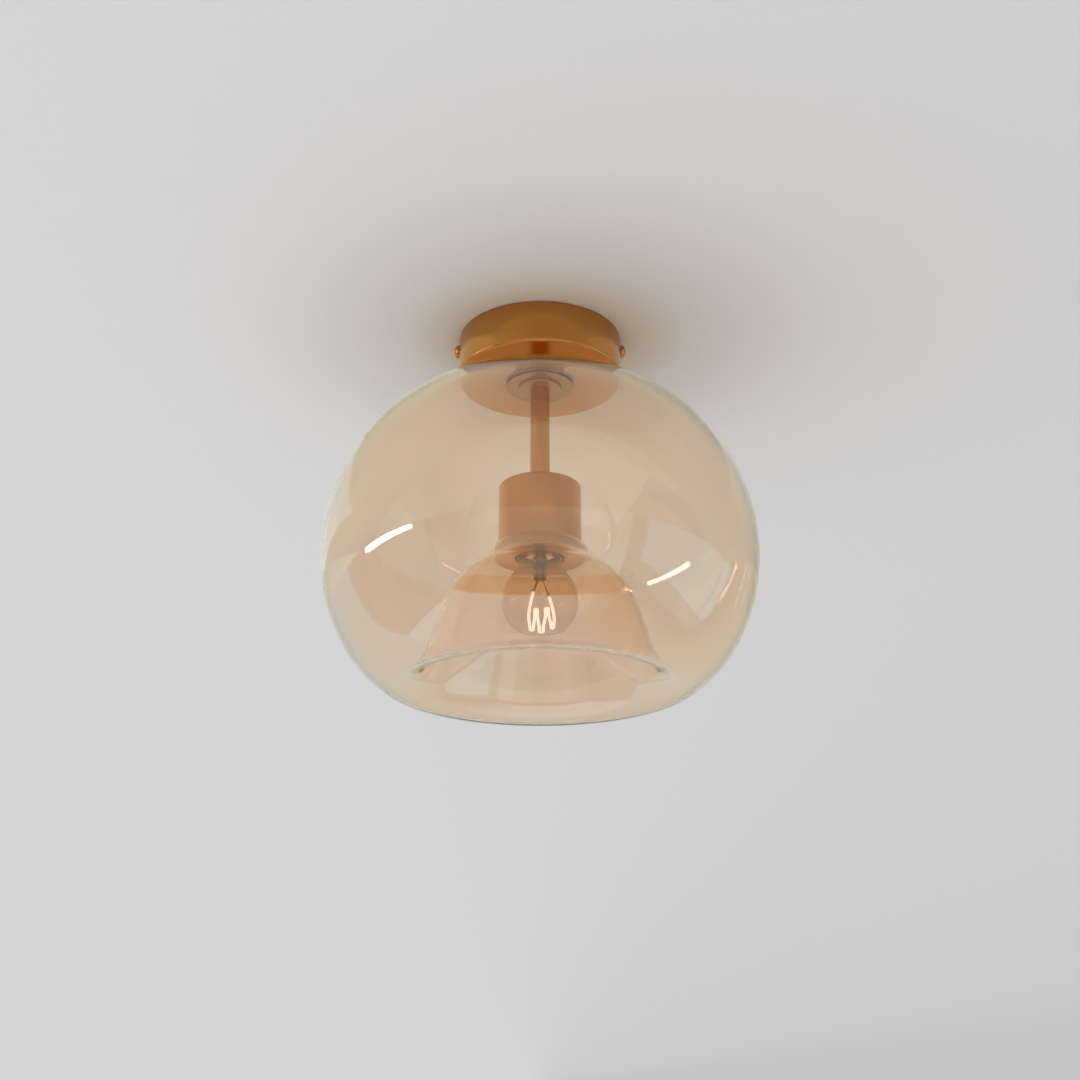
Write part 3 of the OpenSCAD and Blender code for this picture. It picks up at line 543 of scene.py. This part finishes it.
def side_screw(side, body, node):
    middle_z = (low(node) + high(node)) / 2
    under, head_r, head_high, rim_high = 50.3, 4.0, 3.0, 0.75
    dome_rise = head_high - rim_high
    dome_r = (head_r**2 + dome_rise**2) / (2 * dome_rise)
    dome_end = 90 - degrees(atan2(head_r, dome_r - dome_rise))
    dome = arc_points((0, head_high - dome_r), dome_r, 90, dome_end, 28)
    shank = [(0, -8), (1.5, -8)] + levels(1.9, -7.6, -0.4, 0.12) + [(1.95, 0)]
    rim = [(head_r - 0.2, 0), (head_r, 0.2), (head_r, 0.6)]
    bm = turned(shank + rim + list(reversed(dome)), 72)
    cut_thread(bm, 1.9, 0.16, 0.7, -7.6, -0.4)
    # The driver slot is sunk straight across the dome
    slot_depth, slot_half, slot_slope = 1.1, 0.72, 0.25
    for vert in bm.verts:
        if vert.co.z > 0.7 * MM:
            inside = (slot_half - abs(vert.co.y) / MM) / slot_slope
            vert.co.z -= slot_depth * MM * max(0, min(1, inside))
    bmesh.ops.remove_doubles(bm, verts=bm.verts, dist=1e-6)
    turn = Matrix.Rotation(radians(90 * side), 4, "Y")
    bmesh.ops.transform(
        bm, matrix=Matrix.Translation((side * under * MM, 0, middle_z * MM)) @ turn, verts=bm.verts
    )
    link_piece(
        node + "_turned", close_mesh(bm, node + "_turned"), body, satin_brass, [node]
    )


side_screw(-1, "left_screw", "canopy_screw_left")
side_screw(1, "right_screw", "canopy_screw_right")


# Lamp: blown globe, threaded cap, glass mount, leads and the soft filament

globe_r = 22.5
globe_z = low("lamp_globe") + globe_r
neck_r, neck_fillet, neck_high = 12.4, 12.0, high("lamp_globe")
glass_t = 0.8
fillet_x = neck_r + neck_fillet
fillet_z = globe_z + sqrt((globe_r + neck_fillet) ** 2 - fillet_x**2)
meet = degrees(atan2(fillet_z - globe_z, fillet_x))
globe_outline = [(neck_r, neck_high)]
globe_outline += arc_points((fillet_x, fillet_z), neck_fillet, 180, 180 + meet, 10)
globe_outline += arc_points((0, globe_z), globe_r, meet, -90, 30)[1:]
globe_outline += arc_points((0, globe_z), globe_r - glass_t, -90, meet, 30)
globe_outline += arc_points((fillet_x, fillet_z), neck_fillet + glass_t, 180 + meet, 180, 10)[1:]
globe_outline += [(neck_r - glass_t, neck_high)]
link_piece(
    "lamp_globe_blown", close_mesh(turned(globe_outline, 96), "lamp_globe_blown", 60), "lamp",
    lamp_glass, ["lamp_globe"],
)

cap_low, cap_high, cap_r = low("lamp_cap"), high("lamp_cap"), half_width("lamp_cap")
cap_outline = (
    [(10.4, cap_high), (cap_r - 1.4, cap_high)]
    + [(cap_r - 0.5, cap_high - 0.9)]
    + levels(cap_r - 0.4, cap_high - 1.4, cap_low + 5, 0.3)
    + [(cap_r - 0.2, cap_low + 4.4), (cap_r - 0.2, cap_low), (cap_r - 0.7, cap_low)]
    + levels(cap_r - 1.0, cap_low + 5, cap_high - 1.6, 0.3)
    + [(cap_r - 1.6, cap_high - 0.6), (10.4, cap_high - 0.5)]
)
cap_shell = turned(cap_outline, 72)
cut_thread(cap_shell, cap_r - 0.7, 0.7, 3.63, cap_low + 4.6, cap_high - 0.8)
link_piece(
    "threaded_cap", close_mesh(cap_shell, "threaded_cap"), "lamp", rolled_shell,
    ["lamp_cap"],
)

shell_low, shell_high, shell_r = low("screw_shell"), high("screw_shell"), half_width("screw_shell")
shell_outline = (
    [(shell_r - 2.6, shell_high), (shell_r - 0.2, shell_high)]
    + levels(shell_r - 0.2, shell_high - 0.6, shell_low, 0.3)
    + levels(shell_r - 0.5, shell_low, shell_high - 0.6, 0.3)
    + [(shell_r - 2.6, shell_high - 0.4)]
)
holder_shell = turned(shell_outline, 72)
cut_thread(holder_shell, shell_r - 0.35, 0.3, 3.63, shell_low + 0.4, shell_high - 1)
link_piece(
    "threaded_shell", close_mesh(holder_shell, "threaded_shell"), "fixture", dull_nickel,
    ["screw_shell"],
)

press_low = globe_z + 13
press_high = press_low + 5
mount = turned(
    [
        (10.3, neck_high), (11.3, neck_high), (9.2, neck_high - 5), (5.4, fillet_z + 6),
        (4, fillet_z + 1), (4, press_high + 0.6), (3.4, press_high), (2.6, press_high + 0.4),
        (3, press_high + 1.6), (3, fillet_z + 1), (4.4, fillet_z + 6.4), (8.3, neck_high - 5),
    ],
    48,
)
press = bmesh.ops.create_cube(mount, size=1)["verts"]
bmesh.ops.transform(
    mount,
    matrix=Matrix.Translation((0, 0, (press_low + press_high) / 2 * MM))
    @ Matrix.Diagonal((7.6 * MM, 2.8 * MM, 5.4 * MM, 1)),
    verts=press,
)
bmesh.ops.bevel(
    mount, geom=list({e for v in press for e in v.link_edges}), offset=0.8 * MM, segments=4,
    profile=0.5, affect="EDGES", material=-1,
)
link_piece(
    "flare_and_press", close_mesh(mount, "flare_and_press", 60), "lamp", mount_glass,
    ["lamp_mount"],
)

# The soft filament's route, right, back and up from the middle of the globe
filament_route = [
    (-3.9, 0, 5.5), (-5.2, 0.3, 0), (-6.4, 0.8, -7.2), (-6, 1.8, -13.5), (-4.7, 2.6, -17),
    (-3.6, 2, -13.5), (-3, 1, -9), (-2.3, 0, -5), (-1.5, 0.9, -9), (-0.6, 2, -14.5),
    (0.7, 3, -18.8), (2, 2, -14.5), (3.2, 0.9, -9), (4, 0, -4.4), (5, 0.7, -8.5),
    (6.2, 1.6, -13.2), (7.2, 2, -16), (8, 1.6, -13.5), (8.1, 0.8, -9.2), (6.8, 0.3, -2.6),
    (5.3, 0, 2.4),
]
filament_points = [(x, y, z + globe_z) for x, y, z in filament_route]
link_piece(
    "soft_filament", wire_curve("soft_filament", filament_points, 0.88), "lamp", phosphor,
    ["filament"],
)


def lead_line(side, end, before):
    """The lead from the board through the press to the filament's clip."""
    way = (Vector(end) - Vector(before)).normalized()
    tip = Vector(end) + way * 1.6
    x = side * 1.6
    return [
        (x, 0, low("driver_board") + 0.4), (x, 0, press_high + 8), (x, 0, press_low - 0.4), tuple(tip),
    ]


for side, word in ((-1, "left"), (1, "right")):
    ends = (0, 1) if side < 0 else (-1, -2)
    line = lead_line(side, filament_points[ends[0]], filament_points[ends[1]])
    link_piece(
        "lead_" + word, wire_curve("lead_" + word, line, 0.35, smooth=False), "lamp", lead_wire,
        ["lamp_leads"],
    )
# A dark coil of fuse wire round the left lead, below the press
start, stop = Vector((-1.6, 0, press_low - 0.6)), Vector(filament_points[0]) + Vector((0.5, 0, 1.4))
turns = 5
coil = []
for k in range(turns * 8 + 1):
    at = start.lerp(stop, k / (turns * 8))
    coil.append((at.x + 0.62 * cos(tau * k / 8), at.y + 0.62 * sin(tau * k / 8), at.z))
fuse_dark = finish_of("dark_fuse_wire", "#3a2c22", "#2c211a", 0.4, 0.1, 1, 0.3, 0.002, metallic=1.0)
link_piece("fuse_coil", wire_curve("fuse_coil", coil, 0.22), "lamp", fuse_dark)


# Room: a pale ceiling, and walls, floor and windows that only a mirror bounce sees

def stage_piece(name, bm, material):
    """Puts a finished mesh in the scene as part of the room."""
    mesh = bpy.data.meshes.new(name)
    bm.to_mesh(mesh)
    bm.free()
    piece = bpy.data.objects.new(name, mesh)
    bpy.context.scene.collection.objects.link(piece)
    piece.data.materials.append(material)
    return piece


def ceiling_paint():
    """Matt emulsion with painted shade: a little darker to the right, and a painted shadow round the
    canopy; from above it can be looked through.
    """
    material = bpy.data.materials.new("ceiling_emulsion")
    material.use_nodes = True
    tree = material.node_tree
    tree.nodes.clear()
    place = add(tree, "ShaderNodeTexCoord")
    apart = add(tree, "ShaderNodeSeparateXYZ", links={"Vector": place.outputs["Object"]})
    # Painted shade: the paint runs darker to the right, where the room's light falls off
    across = add(
        tree, "ShaderNodeMapRange", values={"From Min": -4.0, "From Max": 4.0},
        links={"Value": apart.outputs["X"]},
    )
    shade = add(tree, "ShaderNodeValToRGB", links={"Fac": across.outputs["Result"]})
    stops = shade.color_ramp.elements
    for place_x, code in ((0.45, "#ececec"), (0.55, "#e4e4e4")):
        stops.new(place_x).color = linear(code)
    stops[0].color, stops[-1].color = linear("#ededed"), linear("#dcdcdc")
    # Painted shadow: a warm, soft darkening of the paint round the canopy, deeper than the room's light
    # alone would leave
    flat = add(tree, "ShaderNodeCombineXYZ", links={"X": apart.outputs["X"], "Y": apart.outputs["Y"]})
    reach = add(tree, "ShaderNodeVectorMath", {"operation": "LENGTH"}, links={0: flat.outputs["Vector"]})
    painted_shadow_stops = [(0.055, "#ece4d8"), (0.09, "#f0f0f0"), (0.18, "#ffffff")]
    inner, outer = painted_shadow_stops[0][0], painted_shadow_stops[-1][0] + 0.001
    outward = add(
        tree, "ShaderNodeMapRange", values={"From Min": inner, "From Max": outer},
        links={"Value": reach.outputs["Value"]},
    )
    painted_shadow_ramp = add(tree, "ShaderNodeValToRGB", links={"Fac": outward.outputs["Result"]})
    ramp = painted_shadow_ramp.color_ramp.elements
    ramp.remove(ramp[1])
    ramp[0].color = linear(painted_shadow_stops[0][1])
    for away, code in painted_shadow_stops[1:]:
        ramp.new((away - inner) / (outer - inner)).color = linear(code)
    # The painted shadow multiplies the paint's colour
    shadowed_paint = add(tree, "ShaderNodeMix", {"data_type": "RGBA", "blend_type": "MULTIPLY"})
    shadowed_paint.inputs[0].default_value = 1.0
    tree.links.new(shade.outputs["Color"], shadowed_paint.inputs[6])
    tree.links.new(painted_shadow_ramp.outputs["Color"], shadowed_paint.inputs[7])
    paint = add(tree, "ShaderNodeBsdfDiffuse", links={"Color": shadowed_paint.outputs[2]})
    clear = add(tree, "ShaderNodeBsdfTransparent")
    side = add(tree, "ShaderNodeNewGeometry")
    either = add(tree, "ShaderNodeMixShader", links={"Fac": side.outputs["Backfacing"]})
    tree.links.new(paint.outputs["BSDF"], either.inputs[1])
    tree.links.new(clear.outputs["BSDF"], either.inputs[2])
    add(tree, "ShaderNodeOutputMaterial", links={"Surface": either.outputs["Shader"]})
    return material


# The ceiling is open over the canopy, as at a ceiling box, so that light from above gets in
ceiling_gap, ceiling_reach, ceiling_z = canopy_r - 1.4, 200000, 0.3
ceiling = turned([(ceiling_reach, ceiling_z), (ceiling_gap, ceiling_z)], 64, closed=False)
stage_piece("ceiling", ceiling, ceiling_paint())


def room_glow(name, along, stops, strength):
    """A glow that shows only after a mirror bounce, so it never hides the background.

    Its colours run into each other from stop to stop, each a place along an axis and a colour.
    """
    material = bpy.data.materials.new(name)
    material.use_nodes = True
    tree = material.node_tree
    tree.nodes.clear()
    path = add(tree, "ShaderNodeLightPath")
    mirrored = add(
        tree, "ShaderNodeMath", {"operation": "GREATER_THAN"}, links={0: path.outputs["Glossy Depth"]}
    )
    mirrored.inputs[1].default_value = 0.5
    place = add(tree, "ShaderNodeTexCoord")
    apart = add(tree, "ShaderNodeSeparateXYZ", links={"Vector": place.outputs["Object"]})
    first, last = stops[0][0], stops[-1][0] + 0.001
    way = add(
        tree, "ShaderNodeMapRange", values={"From Min": first, "From Max": last},
        links={"Value": apart.outputs[along]},
    )
    shade = add(tree, "ShaderNodeValToRGB", links={"Fac": way.outputs["Result"]})
    ramp = shade.color_ramp.elements
    ramp.remove(ramp[1])
    ramp[0].color = linear(stops[0][1])
    for where, code in stops[1:]:
        ramp.new((where - first) / (last - first)).color = linear(code)
    glow = add(
        tree, "ShaderNodeEmission", values={"Strength": strength}, links={"Color": shade.outputs["Color"]}
    )
    clear = add(tree, "ShaderNodeBsdfTransparent")
    either = add(tree, "ShaderNodeMixShader", links={"Fac": mirrored.outputs["Value"]})
    tree.links.new(clear.outputs["BSDF"], either.inputs[1])
    tree.links.new(glow.outputs["Emission"], either.inputs[2])
    add(tree, "ShaderNodeOutputMaterial", links={"Surface": either.outputs["Shader"]})
    return material


def room_panel(name, corners, along, stops, strength=1.0):
    """A flat part of the room, through its corners in metres."""
    bm = bmesh.new()
    bm.faces.new([bm.verts.new(corner) for corner in corners])
    panel = stage_piece(name, bm, room_glow(name, along, stops, strength))
    panel.visible_diffuse = False
    panel.visible_shadow = False


def level_part(name, z, x0, x1, y0, y1, stops):
    """A level part of the room: floor, or ceiling as mirrors see it; its colours run along X."""
    room_panel(name, [(x0, y0, z), (x1, y0, z), (x1, y1, z), (x0, y1, z)], "X", stops)


def wall_part(name, start, stop, low_z, high_z, along, stops, strength=1.0):
    """An upright part of the room between two plan points."""
    corners = [(*start, high_z), (*stop, high_z), (*stop, low_z), (*start, low_z)]
    room_panel(name, corners, along, stops, strength)


# The room's sizes, in metres from the light
LEFT, RIGHT, FRONT, BACK, FLOOR = -2.3, 2.45, -5.4, 1.0, -2.3
# The rug lies between these, and the boards start beyond it
BAND, FAR = -1.66, -2.55
# Height of the mirrored ceiling, its bounds near the canopy, and a gap between stacked panels
ABOVE, NEAR, CLOSE, EDGE, SKIN = -0.004, 0.45, 0.2, 0.056, 0.01
# Outline of a browner patch on the left wall, as places along it and heights
PATCH = [(0.16, 0), (-0.1, -0.5), (-0.25, -0.96), (-0.73, -1.69), (-1.2, -1.9), (-1.5, -1.8), (-1.5, 0)]

# The room's colours
PALE_CARPET, TAN_CARPET, DARK_CARPET, OCHRE_RUG = "#e8ebee", "#dac8b8", "#a08868", "#c07830"
WARM_BOARDS, PALE_BOARDS = "#d8b890", "#ccc4b4"
LIT_CEILING, CEILING, DIM_CEILING, SHADED_CEILING = "#eceee8", "#ccc6b2", "#b8b2a4", "#aa9a84"
WHITE_WALL, COOL_WALL, GREY_WALL, TAN_WALL, BROWN_WALL = (
    "#dcdccc", "#c8d4d8", "#b0ac98", "#b89c7c", "#988870"
)
DOOR, WINDOW, LAMP_WHITE = "#80766e", "#d0e0e6", "#fff8f0"

level_part("floor_near", FLOOR, LEFT, RIGHT, BAND, BACK, [
    (LEFT, PALE_CARPET), (0.4, PALE_CARPET), (1.3, TAN_CARPET), (RIGHT, DARK_CARPET),
])
level_part("floor_band", FLOOR, LEFT, RIGHT, FAR, BAND, [(0, OCHRE_RUG)])
level_part("floor_far", FLOOR, LEFT, RIGHT, FRONT, FAR, [(LEFT, WARM_BOARDS), (RIGHT, PALE_BOARDS)])
level_part("ceiling_front", ABOVE, LEFT, RIGHT, FRONT, -NEAR, [(0, CEILING)])
level_part("ceiling_back", ABOVE, LEFT, RIGHT, NEAR, BACK, [
    (LEFT, LIT_CEILING), (0, CEILING), (RIGHT, SHADED_CEILING),
])
level_part("ceiling_left", ABOVE, LEFT, -NEAR, -NEAR, NEAR, [(LEFT, SHADED_CEILING), (-NEAR, CEILING)])
level_part("ceiling_right", ABOVE, NEAR, RIGHT, -NEAR, NEAR, [(0, DIM_CEILING)])
level_part("ceiling_near", ABOVE, -NEAR, NEAR, -NEAR, -CLOSE, [(0, CEILING)])
level_part("ceiling_close", ABOVE, -NEAR, NEAR, -CLOSE, -EDGE, [
    (-0.12, CEILING), (0, SHADED_CEILING), (CLOSE, DIM_CEILING),
])
level_part("ceiling_behind", ABOVE, -NEAR, NEAR, EDGE, NEAR, [(-NEAR, LIT_CEILING), (NEAR, DIM_CEILING)])
level_part("ceiling_nearleft", ABOVE, -NEAR, -EDGE, -EDGE, EDGE, [(0, CEILING)])
level_part("ceiling_nearright", ABOVE, EDGE, NEAR, -EDGE, EDGE, [(0, DIM_CEILING)])
wall_part("wall_back", (LEFT, BACK), (RIGHT, BACK), FLOOR, 0, "X", [
    (LEFT, COOL_WALL), (0.8, PALE_BOARDS), (RIGHT, BROWN_WALL),
])
wall_part("wall_front", (LEFT, FRONT), (RIGHT, FRONT), FLOOR, 0, "X", [(0, WHITE_WALL)])
wall_part("wall_left", (LEFT, FRONT), (LEFT, BACK), FLOOR, 0, "Y", [
    (FRONT, WHITE_WALL), (-1.7, TAN_WALL), (BACK, TAN_WALL),
])
room_panel("wall_patch", [(LEFT + SKIN, y, z) for y, z in PATCH], "Z", [(-1.9, BROWN_WALL), (0, TAN_WALL)])
wall_part("door_left", (LEFT + SKIN, -1.62), (LEFT + SKIN, -1.5), -1.35, -0.05, "Y", [(0, DOOR)])
wall_part("wall_right", (RIGHT, FRONT), (RIGHT, BACK), FLOOR, 0, "Y", [(0, GREY_WALL)])
wall_part("wall_rightfar", (RIGHT - SKIN, FRONT), (RIGHT - SKIN, -2.4), FLOOR, 0, "Y", [(0, WHITE_WALL)])
wall_part("wall_rightlow", (RIGHT - SKIN, -2.4), (RIGHT - SKIN, BACK), FLOOR, -1.8, "Y", [(0, BROWN_WALL)])
wall_part("window_right", (RIGHT - SKIN, -1.8), (RIGHT - SKIN, 0.6), -1.25, -0.03, "Y", [(0, WINDOW)])
wall_part("window_back", (RIGHT - SKIN, 0.68), (RIGHT - SKIN, 0.98), -1.25, -0.03, "Y", [(0, WINDOW)])
wall_part("strip_left", (LEFT + 2 * SKIN, -1.07), (LEFT + 2 * SKIN, 0.22), -0.13, -0.035, "Y", [
    (0, LAMP_WHITE),
], 10.0)

world = bpy.data.worlds.new("daylight_from_the_left")
bpy.context.scene.world = world
world.use_nodes = True
tree = world.node_tree
tree.nodes.clear()
ways = add(tree, "ShaderNodeTexCoord")
apart = add(tree, "ShaderNodeSeparateXYZ", links={"Vector": ways.outputs["Generated"]})
leftward = add(
    tree, "ShaderNodeMapRange", values={"From Min": 1.0, "From Max": -1.0},
    links={"Value": apart.outputs["X"]},
)
daylight = add(tree, "ShaderNodeMix", {"data_type": "RGBA"}, links={"Factor": leftward.outputs["Result"]})
daylight.inputs[6].default_value = tuple(c * 0.6 for c in linear("#fff4e8"))
daylight.inputs[7].default_value = tuple(c * 1.15 for c in linear("#f2f8ff"))
light = add(tree, "ShaderNodeBackground", links={"Color": daylight.outputs[2]})
warm = add(tree, "ShaderNodeBackground", values={"Color": linear("#ffffff"), "Strength": 1.7})
bounced = add(tree, "ShaderNodeBackground", values={"Color": linear("#fff6ec"), "Strength": 0.6})
plain = add(tree, "ShaderNodeBackground", values={"Color": linear("#d3d3d3")})
path = add(tree, "ShaderNodeLightPath")
scattered = add(
    tree, "ShaderNodeMath", {"operation": "GREATER_THAN"}, links={0: path.outputs["Diffuse Depth"]}
)
scattered.inputs[1].default_value = 0.5
mirrored = add(tree, "ShaderNodeMixShader", links={"Fac": path.outputs["Is Glossy Ray"]})
tree.links.new(light.outputs["Background"], mirrored.inputs[1])
tree.links.new(bounced.outputs["Background"], mirrored.inputs[2])
lighting = add(tree, "ShaderNodeMixShader", links={"Fac": path.outputs["Is Transmission Ray"]})
tree.links.new(mirrored.outputs["Shader"], lighting.inputs[1])
tree.links.new(warm.outputs["Background"], lighting.inputs[2])
either = add(tree, "ShaderNodeMixShader", links={"Fac": scattered.outputs["Value"]})
tree.links.new(plain.outputs["Background"], either.inputs[1])
tree.links.new(lighting.outputs["Shader"], either.inputs[2])
add(tree, "ShaderNodeOutputWorld", links={"Surface": either.outputs["Shader"]})

# Camera where the photograph was taken from, below the light and looking up
camera = bpy.data.cameras.new("photo_camera")
camera.lens = 46.35
camera.sensor_width = 36
camera.clip_start = 0.02
camera.clip_end = 1000
viewer = bpy.data.objects.new("photo_camera", camera)
viewer.location = (0, -0.7618, -0.4308)
viewer.rotation_euler = (pi / 2 + 0.374, 0, 0)
bpy.context.scene.collection.objects.link(viewer)
bpy.context.scene.camera = viewer

bpy.context.scene.view_settings.view_transform = "Standard"
